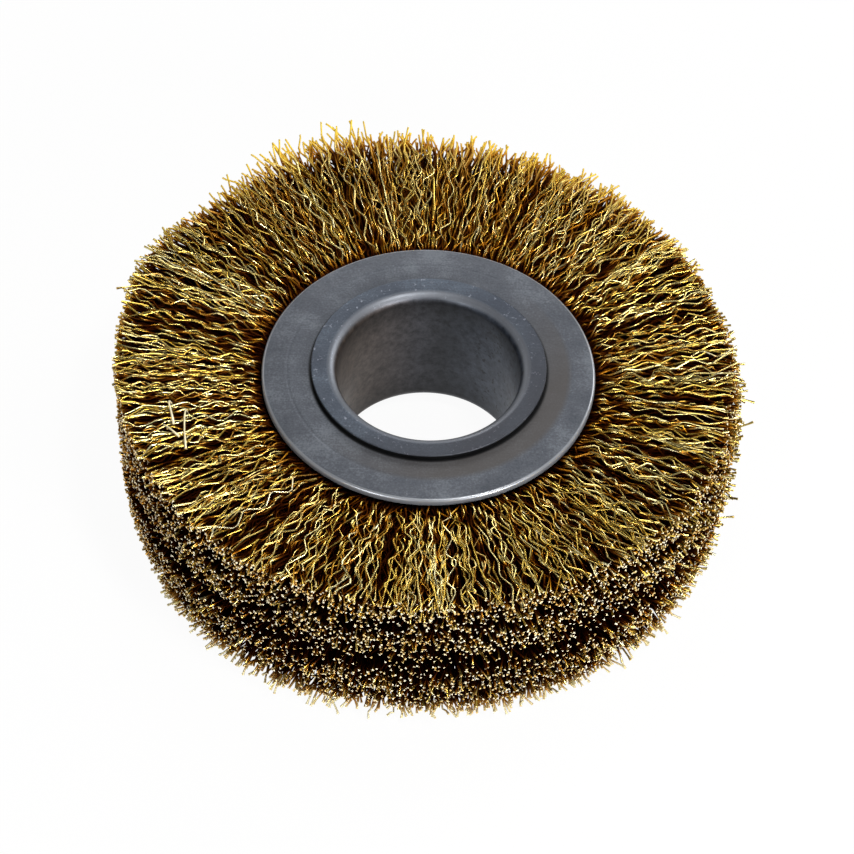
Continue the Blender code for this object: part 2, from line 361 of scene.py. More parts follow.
hubFinish = {
    "dark": "#3B414C", "middle": "#49505B", "light": "#57606C", "bare": "#868B97", "stain": "#3C3C41",
    "wearAndSheen": "#A4A8B0", "mouthShine": 0.42, "specks": 0.62,
    "metallic": 0.65, "roughness": 0.45, "spinMarks": 0.3,
}
plateFinish = {
    "dark": "#454951", "middle": "#595D65", "light": "#6F747C", "bare": "#7E828B", "stain": "#504B47",
    "wearAndSheen": "#9A9EA5", "mouthShine": 0.0, "specks": 0.7,
    "metallic": 0.55, "roughness": 0.55, "spinMarks": 0.12,
}
ringFinish = {
    "dark": "#8A8A8C", "middle": "#A0A0A2", "light": "#B4B4B6", "bare": "#D0D0D2", "stain": "#A0A0A2",
    "wearAndSheen": "#D0D0D2", "mouthShine": 0.0, "specks": 0.7,
    "metallic": 1.0, "roughness": 0.4, "spinMarks": 0.1,
}
hubSteel = steelMaterial("Rolled hub steel", hubFinish, steelMarks)
plateSteel = steelMaterial("Pressed plate steel", plateFinish, steelMarks)
ringSteel = steelMaterial("Drawn ring steel", ringFinish, steelMarks)

hubMesh = turnedMesh("hub_tube_turned", hubProfile(hubTube), hubTube["steps"])
addPiece("hub_tube_turned", hubMesh, "hub_tube", "hub_steel", hubSteel)
for side, node in ((1, "front_plate"), (-1, "rear_plate")):
    profile = plateProfile(facePlate, side)
    mesh = turnedMesh(node + "_pressed", profile, facePlate["steps"], facePlate["waver"])
    addPiece(node + "_pressed", mesh, node, "plate_steel", plateSteel)
for node in ("front_retaining_ring", "rear_retaining_ring"):
    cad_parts[node].data.materials.clear()
    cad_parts[node].data.materials.append(ringSteel)
print("hub tube, plates and rings done")


# Wires

wire = {
    # section and tip
    "thickness": 0.49 * mm,
    "thicker": 1.1,
    "burr": 1.4,
    "neck": 1.1 * mm,
    "point": 0.12 * mm,
    # where it starts, deep in the wheel
    "ringRadius": (ringHigh.x - ringLow.x) / 2 - 2.0 * mm,
    "hiddenPoint": 46 * mm,
    "rootHeight": 0.5 * mm,
    "underPlate": 0.5 * mm,
    "layerJitter": 0.12,
    # crimp: half a wave's length, its height, and how far neighbours are in step
    "halfCrimp": 4.2 * mm,
    "crimpVaries": 0.1,
    "crimpHeight": 0.88 * mm,
    "crimpScatter": 0.42,
    "crimpShift": 0.13,
    "crimpWaves": 12,
    "crimpsTogether": 0.8,
    "crimpsApart": 0.3,
    "lastCrimp": (0.45, 1.3),
    "bendSpread": 0.15,
    "tipShift": 0.3 * mm,
    "nest": 8 * mm,
    # where it ends: the round wheel, then scatter, ragged ends and the parting between the rows
    "brushRadius": 75.9 * mm,
    "pastRim": 1.12,
    "crown": 0.9 * mm,
    "tipScatter": 0.5 * mm,
    "longTips": 0.05,
    "longTipReach": 2.2 * mm,
    "shortTipReach": 0.8 * mm,
    "shortWires": 0.13,
    "shortWireReach": 14 * mm,
    "raggedness": 0.9 * mm,
    "raggedSize": 8 * mm,
    "raggedWaves": 16,
    "looseRagged": 0.45,
    "parting": 1.3 * mm,
    "partingDepth": 3.5 * mm,
    "partingWidth": 2.4 * mm,
    # how it runs out: rise of the face, lean, bow, sway with its tuft, and the turn of its zigzag
    "bulge": 0.45,
    "leanDeg": 4.2,
    "leanMostDeg": 35,
    "riseDeg": 1.8,
    "bow": 0.9 * mm,
    "tuft": 0.6 * mm,
    "tuftHeave": 0.42 * mm,
    "tuftSize": 7 * mm,
    "tuftWaves": 14,
    "swayGrowth": 1.3,
    "rollWaves": 10,
    "rollTogether": 0.6,
    "rollApart": 0.9,
    # what holds it: the plate, the ring and the wires beside it
    "freePast": (-5 * mm, 3 * mm),
    "heldOver": 6 * mm,
    "plateGap": (0.4 * mm, 0.1 * mm),
    "plateSteepness": 2.2,
    "proud": 0.2 * mm,
    "pressedBack": 0.8,
    "highest": 0.9 * mm,
    # how alike the coats are: both numbers of the beta spread of tones
    "toneSpread": 2.2,
}
# where light is painted on the wires: far side and far tips by y in brush radii, outer edge and upper
# layers by height in rim heights, each from none to full; how many times shallower, less one, depths
# count there, so that the painted shade is lighter; and how far in from its tip the painted glow and
# pale light reach. The far tips only set where the burr fades
paintedLightZones = {
    "farSide": (0.4, 0.9),
    "farTips": (0.2, 0.7),
    "outerEdge": (0.75, 1.0),
    "upperLayers": (1 / 2, 5 / 6),
    "lighterRim": 1.6,
    "lighterFace": 2.5,
    "lighterEdge": {"front": 1.2, "rear": 4.0},
    "tipReach": 8 * mm,
}
# the kinds of wire: how many to a row, the layers they fill (0 at the parting, 1 at the face), how many
# crimps they show from radius start on, points to a bend, and how much more than others they lean
outerWires = {
    "name": "outer", "count": {"front": 1220, "rear": 720}, "low": 0.88, "high": 1.0,
    "crimps": 8, "bends": 2, "start": 38.5 * mm, "leanTimes": 1.0,
}
innerWires = {
    "name": "inner", "count": {"front": 1600, "rear": 1050}, "low": 0.77, "high": 0.95,
    "crimps": 8, "bends": 1, "start": 38.5 * mm, "leanTimes": 1.0,
}
fillWires = {
    "name": "fill", "count": {"front": 2800, "rear": 2800}, "low": 0.3, "high": 0.88,
    "crimps": 3, "bends": 1, "start": 58 * mm, "leanTimes": 1.0,
}
midWires = {
    "name": "middle", "count": {"front": 2700, "rear": 2700}, "low": 0.0, "high": 0.5,
    "crimps": 3, "bends": 1, "start": 58 * mm, "leanTimes": 1.0,
}
strayWires = {
    "name": "stray", "count": {"front": 60, "rear": 40}, "low": 0.96, "high": 1.0,
    "crimps": 8, "bends": 2, "start": 38.5 * mm, "leanTimes": 3.2,
}
# the solid's bundles: how many to a quarter, the seed of their scatter, how far crests, grooves and the
# hollows of the rim lie under the smooth row, and the heights of the rim's bands; share and rimShare are
# how far the wires follow them, fade how far past the plate that takes, gather how close wires draw
bundles = {
    "quarter": 26,
    "seed": 7,
    "crest": 0.9 * mm,
    "groove": 1.9 * mm,
    "hollow": 3.4 * mm,
    "scatter": 0.6,
    "bands": (21.2 * mm, 12.6 * mm, 4.0 * mm),
    "share": 0.6,
    "rimShare": 0.3,
    "fade": 7 * mm,
    "gather": 0.3,
}
# how much more or less uneven than elsewhere the wires' ends are: azimuth and half width in degrees, share
unevenness = [(185, 42, -0.8), (80, 30, 0.9)]
# where the wires have worked loose or are worn short: azimuth and half width in degrees, reach and lift
# in mm
looseTufts = {
    "front": [(6, 14, -0.3, 0.0), (20, 10, -1.7, 0.0), (44, 14, -0.6, 0.0), (88, 13, -1.2, 0.8),
              (112, 22, 3.8, 0.8), (156, 12, 3.6, 0.8), (180, 14, 1.2, 0.3)],
    "rear": [(192, 16, -1.2, 0.0), (240, 18, 1.2, 0.3), (355, 16, -2.6, 0.0)],
}

goldenShare = (math.sqrt(5) - 1) / 2
edgeRadius = plateHigh.x
edgeHeight = plateLow.z - wire["underPlate"]
rimHeight = rowHigh.z
reachOut = wire["brushRadius"] - edgeRadius


def growing(value, start, end):
    # 0 up to start, rising evenly to 1 at end
    return np.clip((value - start) / (end - start), 0, 1)


def ripples(count, size, theta, z):
    # a smooth random field: the sum of count sines, about size long, with whole waves round the rim
    turn = rng.uniform(0, math.tau, count)
    length = size * rng.uniform(0.7, 1.6, count)
    around = np.round(math.tau * wire["brushRadius"] / length * np.cos(turn))
    phase = rng.uniform(0, math.tau, count)
    waves = np.sin(theta[:, None] * around + z[:, None] * math.tau / length * np.sin(turn) + phase)
    return waves.sum(axis=1) / math.sqrt(count / 2)


def shareOut(r):
    # 0 at the plate's edge, 1 at the brush radius and a little more past it
    return np.clip((r - edgeRadius) / reachOut, 0, wire["pastRim"])


def faceTop(r, lift):
    # how high the face stands over radius r: edgeHeight + (rimHeight - edgeHeight) * sqrt(out) + lift * out
    out = shareOut(r)
    return edgeHeight + (rimHeight - edgeHeight) * np.sqrt(out) + lift * out


def bell(theta, azimuthDeg, widthDeg):
    # 1 at the azimuth, falling as exp(-(angle / width) ** 2) to either side
    away = (theta - math.radians(azimuthDeg) + math.pi) % math.tau - math.pi
    return np.exp(-(away / math.radians(widthDeg)) ** 2)


def looseness(row, theta):
    # reach and lift of the loose tufts at angle theta: a sum of bell curves over the azimuth
    total = np.zeros((2, len(theta)))
    for azimuthDeg, widthDeg, reach, lift in looseTufts[row]:
        total += np.array([[reach], [lift]]) * mm * bell(theta, azimuthDeg, widthDeg)
    return total


def bundleTable(bundle):
    # drop of the face and of the rim for each column, crest and groove in turn, as the solid has them;
    # the first draw of each three isn't used and only keeps the others in the solid's order
    chance = random.Random(bundle["seed"])
    draws = [(chance.choice((-1, 1)), chance.random(), chance.random()) for _ in range(bundle["quarter"])]
    _, spread, gap = np.array(draws).T
    depth = 1 + bundle["scatter"] * (2 * gap - 1)
    face = np.stack([bundle["crest"] * (1 - spread), bundle["groove"] * depth], axis=1).ravel()
    rim = np.stack([0 * gap, bundle["hollow"] * depth], axis=1).ravel()
    other = np.stack([bundle["hollow"] * depth, 0 * gap], axis=1).ravel()
    return [np.tile(values, 4) for values in (face, rim, other)]


faceDrops, rimDrops, otherDrops = bundleTable(bundles)


def dropAt(drops, share, side, theta):
    # the table's value at angle theta, straight between columns; the rear row is the front one turned over
    columns = np.arange(len(drops)) * math.tau / len(drops)
    return share * np.interp(side * theta, columns, drops, period=math.tau)


def rimDropAt(side, theta, z):
    # on the rim, tips and hollows change places from band to band
    top, middle, low = bundles["bands"]
    toMiddle = np.interp(z, (low, middle, top), (0, 1, 0))
    share = bundles["rimShare"]
    ends, between = dropAt(rimDrops, share, side, theta), dropAt(otherDrops, share, side, theta)
    return (1 - toMiddle) * ends + toMiddle * between


def crimpPath(kind, count, theta, tipR, tipZ):
    # radii and zigzag of each wire: crimps half a wave apart from the first bend to the tip, left and
    # right in turn, with two points to a bend where bends is 2; a wire whose crimp starts far out runs
    # straight to the ring through one hidden point
    crimps = kind["crimps"]
    phase = ripples(wire["crimpWaves"], wire["nest"], theta, tipZ) * wire["crimpsTogether"]
    phase += rng.normal(0, wire["crimpsApart"], count)
    half = wire["halfCrimp"] * rng.normal(1, wire["crimpVaries"], count)
    firstR = kind["start"] + (np.ceil(phase) - phase) * half
    last = np.clip((tipR - firstR) / half - (crimps - 1), *wire["lastCrimp"])
    half = (tipR - firstR) / (crimps - 1 + last)
    number = np.arange(crimps)
    sign = (-1.0) ** (np.ceil(phase)[:, None] + number)
    height = sign * wire["crimpHeight"] * (1 + rng.normal(0, wire["crimpScatter"], (count, crimps)))
    shifted = number + rng.normal(0, wire["crimpShift"], (count, crimps))
    middle = firstR[:, None] + half[:, None] * shifted
    spread = wire["bendSpread"] * half[:, None, None] * np.array([-1, 1] if kind["bends"] == 2 else [0])
    r = (middle[:, :, None] + spread).reshape(count, -1)
    zigzag = np.repeat(height, kind["bends"], axis=1)
    tipZig = height[:, -1:] * (1 - 2 * last[:, None]) + rng.normal(0, wire["tipShift"], (count, 1))
    neckShare = 1 - wire["neck"] / (last * half)[:, None]
    neckZig = height[:, -1:] + (tipZig - height[:, -1:]) * neckShare
    whole = kind["start"] < wire["hiddenPoint"]
    hidden = [wire["ringRadius"]] if whole else [wire["ringRadius"], wire["hiddenPoint"]]
    inner = np.tile(np.array(hidden), (count, 1))
    r = np.concatenate([inner, r, tipR[:, None] - wire["neck"], tipR[:, None]], axis=1)
    return r, np.concatenate([0 * inner, zigzag, neckZig, tipZig], axis=1)


def tipRadii(row, theta, share, reach, tipZ):
    # Where each wire ends: brushRadius - crown * height ** 2, moved out by its loose tuft and a ragged
    # field, scattered from wire to wire with some ends longer and some shorter, and taken back in the
    # parting by partingDepth * exp(-(z / partingWidth) ** 2) and by the solid's hollows; high powers of
    # the layer's share keep the short ends to the outermost layers
    count = len(theta)
    radii = wire["brushRadius"] - wire["crown"] * (tipZ / rimHeight) ** 2
    uneven = 1 + sum(more * bell(theta, azimuthDeg, widthDeg) for azimuthDeg, widthDeg, more in unevenness)
    ragged = ripples(wire["raggedWaves"], wire["raggedSize"], theta, tipZ) * uneven
    radii += reach * (1 + wire["looseRagged"] * ragged) + wire["raggedness"] * ragged
    scatter = np.minimum(uneven, 1)
    radii += rng.normal(0, 1, count) * wire["tipScatter"] * scatter
    longer = (rng.uniform(0, 1, count) < wire["longTips"]) * rng.uniform(0.2, 1, count) * scatter
    radii += longer * wire["longTipReach"]
    radii -= rng.exponential(1, count).clip(0, 3) * wire["shortTipReach"] * share ** 6 * scatter
    isShort = rng.uniform(0, 1, count) < wire["shortWires"]
    cutShort = isShort * rng.uniform(0, 1, count) ** 1.5 * share ** 8
    radii -= cutShort * wire["shortWireReach"]
    radii -= wire["partingDepth"] * np.exp(-(tipZ / wire["partingWidth"]) ** 2)
    return radii - rimDropAt(1 if row == "front" else -1, theta, tipZ)


def paintedLightMarks(row, r, y, z, under, inside):
    # What the painted light and shade need at each point: its depth under the face and inside the rim,
    # both in mm, divided by 1 + lighter * nearness where the painted shade is lighter, the radius past
    # the plate in mm, and how much painted yellow glow the far tips of the front row's upper layers get
    # and how much painted pale light the rear row's edge gets
    far = growing(y / wire["brushRadius"], *paintedLightZones["farSide"])
    edge = growing(z / rimHeight, *paintedLightZones["outerEdge"])
    upper = growing(z / rimHeight, *paintedLightZones["upperLayers"])
    nearTip = 1 - growing(inside, 0, paintedLightZones["tipReach"])
    front = row == "front"
    return {
        # painted light: depths count shallower on the far side and at the edge, so the painted shade there
        # is lighter
        "faceDepth": under / mm / (1 + paintedLightZones["lighterFace"] * far),
        "rimDepth": inside / mm / (1 + paintedLightZones["lighterRim"] * far + paintedLightZones["lighterEdge"][row] * edge),
        "outward": (r - edgeRadius) / mm,
        "dulled": far * nearTip * upper * front,
        "frayed": edge * nearTip * (not front),
    }


def wireLines(kind, row):
    # Each wire's middle line, [wire, point, xyz]. In the wheel's own cylinder (r, angle, z) a wire runs
    # out from the ring at z = start + (tip - start) * out ** bulge, sways with its tuft, leans and bows
    # by itself, and zigzags with its crimp in a plane of its own. Its layer steps on by the golden share
    # from wire to wire, so that every layer is spread evenly round the wheel. Beside the plate it stays
    # under edgeHeight + gap + steepness * sqrt(past the plate), and what stands proud of the face is
    # mostly pressed back.
    side = 1 if row == "front" else -1
    count = kind["count"][row]
    theta = (np.arange(count) + rng.uniform(0, 1, count)) / count * math.tau
    pitch = math.tau / (4 * bundles["quarter"])
    theta -= bundles["gather"] * pitch / math.tau * np.sin(theta / pitch * math.tau)
    spot = (np.arange(count) * goldenShare + rng.uniform(0, wire["layerJitter"], count)) % 1
    share = kind["low"] + (kind["high"] - kind["low"]) * spot
    reach, lift = looseness(row, theta) * share ** 2
    tipZ = wire["parting"] + (rimHeight - wire["parting"]) * share
    startZ = wire["rootHeight"] + (edgeHeight - wire["rootHeight"]) * share
    tipR = tipRadii(row, theta, share, reach, tipZ)
    r, zigzag = crimpPath(kind, count, theta, tipR, tipZ)

    out = shareOut(r)
    ringRadius = wire["ringRadius"]
    ringZ = (ringLow.z + ringHigh.z) / 2
    bulge = 1 - wire["bulge"] * share[:, None] ** 2
    z = ringZ + (startZ[:, None] - ringZ) * growing(r, ringRadius, edgeRadius)
    z += (tipZ + lift - startZ)[:, None] * out ** bulge
    leanDeg = rng.normal(0, wire["leanDeg"] * kind["leanTimes"], count)
    leanDeg = leanDeg.clip(-wire["leanMostDeg"], wire["leanMostDeg"])
    lean = np.tan(np.radians(leanDeg))[:, None] * reachOut
    rise = np.tan(np.radians(rng.normal(0, wire["riseDeg"], count)))[:, None] * reachOut
    arch = np.sin(math.pi * np.clip(out, 0, 1)) * out ** 0.5
    bow = rng.normal(0, wire["bow"], (2, count))[:, :, None] * arch
    sway = ripples(wire["tuftWaves"], wire["tuftSize"], theta, tipZ)[:, None] * wire["tuft"]
    heave = ripples(wire["tuftWaves"], wire["tuftSize"], theta, tipZ)[:, None] * wire["tuftHeave"]
    roll = ripples(wire["rollWaves"], wire["nest"], theta, tipZ) * wire["rollTogether"]
    roll = (roll + rng.normal(0, wire["rollApart"], count))[:, None]
    freeFrom, freeTo = wire["freePast"]
    free = growing(r, edgeRadius + freeFrom, edgeRadius + freeTo)
    held = growing(r, ringRadius, ringRadius + wire["heldOver"])
    growth = out ** wire["swayGrowth"]
    along = (sway + lean) * growth + bow[0] + zigzag * np.cos(roll) * held
    z += (heave + rise) * growth + bow[1] + zigzag * np.sin(roll) * free

    gapOut, gapUp = wire["plateGap"]
    over = np.maximum(r - edgeRadius - gapOut, 0)
    z = np.minimum(z, edgeHeight + gapUp + wire["plateSteepness"] * np.sqrt(over * mm))
    top = faceTop(r, lift[:, None])
    angle = theta[:, None] + along / r
    bundled = dropAt(faceDrops, bundles["share"], side, angle) * growing(over, 0, bundles["fade"])
    proud = np.maximum(z - top + bundled - wire["proud"], 0)
    z = np.minimum(z - wire["pressedBack"] * proud, rimHeight + wire["highest"])
    line = np.stack([r * np.cos(angle), r * np.sin(angle), side * z], axis=-1)
    rim = wire["brushRadius"] + reach[:, None] - wire["crown"] * (np.clip(z, 0, rimHeight) / rimHeight) ** 2
    return line, paintedLightMarks(row, r, line[:, :, 1], z, top - bundled - z, rim - r)


def tubeMesh(name, line, marks):
    # Three-sided tubes: ring point = centre + radius * (cos k * n + sin k * b), k in thirds of a turn,
    # n and b square to the wire, drawn thicker to make up for its flat sides; the inner end is flat and
    # the tip has a short point and a small burr, which fades on the far side.
    # Each side face keeps the direction of its stretch of wire as run, each point what marks say.
    count, points = line.shape[:2]
    step = np.diff(line, axis=1)
    step /= np.linalg.norm(step, axis=2, keepdims=True)
    along = np.concatenate([step[:, :1], step[:, 1:] + step[:, :-1], step[:, -1:]], axis=1)
    along /= np.linalg.norm(along, axis=2, keepdims=True)
    whole = line[:, -1] - line[:, 0]
    reference = np.cross(whole, rng.normal(0, 1, (count, 3)))
    n = np.cross(reference[:, None, :], along)
    n /= np.linalg.norm(n, axis=2, keepdims=True)
    b = np.cross(along, n)
    k = (np.arange(3) * math.tau / 3)[None, None, :, None]
    farTip = growing(line[:, -1, 1] / wire["brushRadius"], *paintedLightZones["farTips"])
    radius = np.full((count, points, 1, 1), wire["thickness"] / 2 * wire["thicker"])
    radius[:, -1, 0, 0] *= 1 + (wire["burr"] - 1) * (1 - farTip)
    rings = line[:, :, None, :] + radius * (np.cos(k) * n[:, :, None, :] + np.sin(k) * b[:, :, None, :])
    apex = line[:, -1] + step[:, -1] * wire["point"]
    vertices = np.concatenate([rings.reshape(count, -1, 3), apex[:, None, :]], axis=1)
    perWire = points * 3 + 1
    base = (np.arange(count) * perWire)[:, None, None]
    index = np.arange(points * 3).reshape(points, 3)
    here, onward = index[:-1], index[1:]
    quads = [here, np.roll(here, -1, axis=1), np.roll(onward, -1, axis=1), onward]
    quads = np.stack(quads, axis=-1).reshape(-1, 4)
    start = index[0, ::-1][None, :]
    last = index[-1]
    tip = np.stack([last, np.roll(last, -1), np.full(3, points * 3)], axis=-1)
    quads, start, tip = (base + faces[None] for faces in (quads, start, tip))
    corners = np.concatenate([quads.ravel(), start.ravel(), tip.ravel()])
    quadCount, startCount, tipCount = quads.size // 4, start.size // 3, tip.size // 3
    sizes = np.repeat([4, 3], [quadCount, startCount + tipCount])
    mesh = bpy.data.meshes.new(name)
    mesh.vertices.add(count * perWire)
    mesh.vertices.foreach_set("co", vertices.astype(np.float32).ravel())
    mesh.loops.add(len(corners))
    mesh.loops.foreach_set("vertex_index", corners.astype(np.int32))
    mesh.polygons.add(len(sizes))
    starts = np.concatenate([[0], np.cumsum(sizes)[:-1]])
    mesh.polygons.foreach_set("loop_start", starts.astype(np.int32))
    slots = np.repeat([0, 1], [quadCount + startCount, tipCount])
    mesh.polygons.foreach_set("material_index", slots.astype(np.int32))
    runs = np.zeros((len(sizes), 3), np.float32)
    runs[:quadCount] = np.repeat(step.reshape(-1, 3), 3, axis=0)
    stored = mesh.attributes.new("run", "FLOAT_VECTOR", "FACE")
    stored.data.foreach_set("vector", runs.ravel())
    mesh.update(calc_edges=True)
    smooth = np.repeat([True, False], [quadCount, startCount + tipCount])
    mesh.polygons.foreach_set("use_smooth", smooth)
    for key, value in marks.items():
        spread = np.broadcast_to(value.reshape(count, -1), (count, points))
        perPoint = np.concatenate([np.repeat(spread, 3, axis=1), spread[:, -1:]], axis=1)
        stored = mesh.attributes.new(key, "FLOAT", "POINT")
        stored.data.foreach_set("value", perPoint.astype(np.float32).ravel())
    return mesh


wireFinish = {
    "metallic": 0.95,
    "faceFade": (-0.3, 0.75),
    "plateFade": (0.0, 2.5),
    "plateShade": 0.15,
    "rimFade": (-0.5, 2.0),
    "patchSize": 2.5 * mm,
    "patchShare": 0.6,
    "toneScale": 0.62,
    "edgeTint": "#E2C474",
    # painted light: the yellow glow on the far tips and the pale light on the rear row's edge
    "glowTint": 0.95,
    "glowTone": "#FFDA4C",
    "fringeLightTone": "#FFF8D0",
    "lessMetallic": -0.9,
    "roughDeep": 0.55,
    "roughOpen": 0.22,
    "rougher": 0.3,
    "coatTones": [(0.1, "#AC8A38"), (0.4, "#D6B858"), (0.7, "#F2E4A2"), (0.95, "#FFFEE8")],
    # painted shade: the colour the wire is multiplied by, from deep in the wheel (dark brown) to open
    # (unchanged)
    "shadeTones": [(0.0, "#38170D"), (0.35, "#6E4020"), (0.7, "#C89C60"), (1.0, "#FFFFFF")],
}


def wireMaterial(finish):
    # Steel wire with a thin electroplated brass coat, drawn and crimped: a bright yellow metal, paler
    # where the coat is thin. Towards the inside shade is painted into its colour, darker and browner
    # with depth: the painted light share, the larger of two, falls from 1 to 0 by 0.75 mm under the face
    # and by 2 mm inside the rim, and the face's is low beside the plate, where a painted shadow of the
    # plate lies. The far tips of the front row's upper layers are painted with a yellow glow and the rear
    # row's edge with pale light; there the wire is rougher and hardly metallic. The normal loses what
    # lies along the wire's own stretch, so that a straight stretch glints as a whole.
    title = "Brass-coated crimped wire"
    material, tree, shader = startMaterial(title, finish["metallic"], finish["roughOpen"])

    def stored(name):
        addNode(tree, "Attribute", {"attribute_name": name})
        return tree.nodes[-1].outputs["Fac"]

    def ramp(source, limits, low, high):
        settings = {"interpolation_type": "SMOOTHSTEP", "From Min": limits[0], "From Max": limits[1]}
        settings.update({"To Min": low, "To Max": high})
        return addNode(tree, "MapRange", settings, {"Value": source})

    def calculated(operation, links, factor=0.0, added=0.0):
        return addNode(tree, "Math", {"operation": operation, 1: factor, 2: added}, links)

    def vector(operation, links, output=0):
        addNode(tree, "VectorMath", {"operation": operation}, links)
        return tree.nodes[-1].outputs[output]

    # painted shade: the wire darkens and browns with depth under the face and inside the rim, the larger
    # share counting
    onFace = ramp(stored("faceDepth"), finish["faceFade"], 1.0, 0.0)
    # painted shadow of the plate: the wires beside its edge are darkened to plateShade, lighter 2.5 mm out
    clear = ramp(stored("outward"), finish["plateFade"], finish["plateShade"], 1.0)
    onRim = ramp(stored("rimDepth"), finish["rimFade"], 1.0, 0.0)
    paintedLightShare = calculated("MAXIMUM", {0: calculated("MULTIPLY", {0: onFace, 1: clear}), 1: onRim})
    place = addNode(tree, "TexCoord")
    patch = addNode(tree, "TexNoise", {"Scale": 1 / finish["patchSize"], "Detail": 2}, {"Vector": place})
    mixed = calculated("MULTIPLY_ADD", {0: patch, 2: stored("tone")}, finish["patchShare"])
    scaled = calculated("MULTIPLY", {0: mixed}, finish["toneScale"])
    plated = addNode(tree, "ValToRGB", {"stops": finish["coatTones"]}, {"Fac": scaled})
    # painted yellow glow on the far tips of the front row's upper layers
    dulled = calculated("MULTIPLY", {0: stored("dulled")}, finish["glowTint"])
    yellow = {"Color2": linearColour(finish["glowTone"])}
    yellowed = addNode(tree, "MixRGB", yellow, {"Fac": dulled, "Color1": plated})
    # painted pale light on the rear row's edge
    pale = {"Color2": linearColour(finish["fringeLightTone"])}
    coatAndPaintedLight = addNode(tree, "MixRGB", pale, {"Fac": stored("frayed"), "Color1": yellowed})
    paintedShade = addNode(tree, "ValToRGB", {"stops": finish["shadeTones"]}, {"Fac": paintedLightShare})
    shadeMix = {"Color1": coatAndPaintedLight, "Color2": paintedShade}
    colour = addNode(tree, "MixRGB", {"blend_type": "MULTIPLY", 0: 1.0}, shadeMix)
    tree.links.new(colour, shader.inputs["Base Color"])
    wearAndSheen = calculated("MAXIMUM", {0: stored("dulled"), 1: stored("frayed")})
    buffed = ramp(paintedLightShare, (0, 1), finish["roughDeep"], finish["roughOpen"])
    rough = calculated("MULTIPLY_ADD", {0: wearAndSheen, 2: buffed}, finish["rougher"])
    tree.links.new(rough, shader.inputs["Roughness"])
    metal = calculated("MULTIPLY_ADD", {0: wearAndSheen}, finish["lessMetallic"], finish["metallic"])
    tree.links.new(metal, shader.inputs["Metallic"])
    shader.inputs["Specular Tint"].default_value = linearColour(finish["edgeTint"])

    addNode(tree, "Attribute", {"attribute_name": "run"})
    toWorld = {"vector_type": "VECTOR", "convert_from": "OBJECT", "convert_to": "WORLD"}
    run = addNode(tree, "VectorTransform", toWorld, {0: tree.nodes[-1].outputs["Vector"]})
    addNode(tree, "NewGeometry")
    normal = tree.nodes[-1].outputs["Normal"]
    amount = vector("DOT_PRODUCT", {0: normal, 1: run}, "Value")
    square = vector("SUBTRACT", {0: normal, 1: vector("SCALE", {0: run, "Scale": amount})})
    tree.links.new(vector("NORMALIZE", {0: square}), shader.inputs["Normal"])
    return material


def tipMaterial():
    # Sheared wire end: bare bright steel with a torn, matt face that looks almost white, and yellower
    # where the coat is drawn over it, in patches of 1.5 mm
    material, tree, shader = startMaterial("Sheared wire end", 0.0, 0.5)
    place = addNode(tree, "TexCoord")
    patch = addNode(tree, "TexNoise", {"Scale": 1 / (1.5 * mm), "Detail": 1}, {"Vector": place})
    endTones = [(0.36, "#DCAC54"), (0.45, "#F8DE9A"), (0.58, "#FFF8DE")]
    colour = addNode(tree, "ValToRGB", {"stops": endTones}, {"Fac": patch})
    tree.links.new(colour, shader.inputs["Base Color"])
    return material


def rubbedMaterial():
    # The wires that lie on top are scuffed all round: pale brass with a broad soft sheen
    material, tree, shader = startMaterial("Scuffed pale wire", 0.3, 0.45)
    shader.inputs["Base Color"].default_value = linearColour("#FFF3CC")
    return material


brassWire = wireMaterial(wireFinish)
rubbedWire = rubbedMaterial()
cutEnd = tipMaterial()
wireTotal = 0
for row in ("front", "rear"):
    for kind in (outerWires, innerWires, fillWires, midWires, strayWires):
        count = kind["count"][row]
        line, marks = wireLines(kind, row)
        marks["tone"] = rng.beta(wire["toneSpread"], wire["toneSpread"], count)
        name = f"{row}_{kind['name']}_wires"
        addPiece(name, tubeMesh(name, line, marks), row + "_wire_row", "brassed_wire", brassWire, cutEnd)
        wireTotal += count
print("wires done:", wireTotal)


# Three wires that were bent aside and lie across the face: radius mm, azimuth degrees, height mm

bentWires = {
    "first": [(60.5, -167.0, 13.0), (62.4, -166.4, 18.0), (63.3, -165.8, 20.6), (63.5, -165.0, 21.1),
              (63.6, -162.0, 21.2), (63.9, -158.9, 21.1)],
    "second": [(57.4, -163.8, 12.5), (59.2, -163.4, 17.5), (60.0, -162.9, 20.3), (60.8, -160.6, 20.9),
               (62.2, -156.4, 21.0), (63.9, -151.6, 21.0)],
    "third": [(66.3, -161.0, 16.0), (66.0, -159.8, 20.4), (65.0, -157.6, 21.1), (63.9, -155.3, 21.0)],
}
for label, points in bentWires.items():
    r, azimuth, z = np.array(points).T
    turn = np.radians(azimuth)
    line = np.stack([r * np.cos(turn), r * np.sin(turn), z], axis=-1)[None] * mm
    name = "front_bent_wire_" + label
    addPiece(name, tubeMesh(name, line, {}), "front_wire_row", "brassed_wire", rubbedWire, cutEnd)
print("bent wires done")


# Studio: floor, world, lamps and camera

# The floor is matt white paper that goes on past the picture and shows a soft shadow; floorLift is how
# much of what a camera or a reflection sees of it is plain white light
studio = {
    "floorSize": 12.0,
    "floorColour": "#F4F4F4",
    "floorLift": 0.95,
    "worldTop": 0.09,
    "worldHorizon": 0.26,
    "worldFadeHeight": 0.7,
}
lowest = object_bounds()[0].z
half = studio["floorSize"] / 2
corners = [(-half, -half, lowest), (half, -half, lowest), (half, half, lowest), (-half, half, lowest)]
floorMesh = bpy.data.meshes.new("floor")
floorMesh.from_pydata(corners, [], [(0, 1, 2, 3)])
floor = bpy.data.objects.new("floor", floorMesh)
bpy.context.scene.collection.objects.link(floor)
floorMaterial, tree, shader = startMaterial("Matt white paper", 0.0, 0.9)
shader.inputs["Base Color"].default_value = linearColour(studio["floorColour"])
shader.inputs["Specular IOR Level"].default_value = 0.0
addNode(tree, "LightPath")
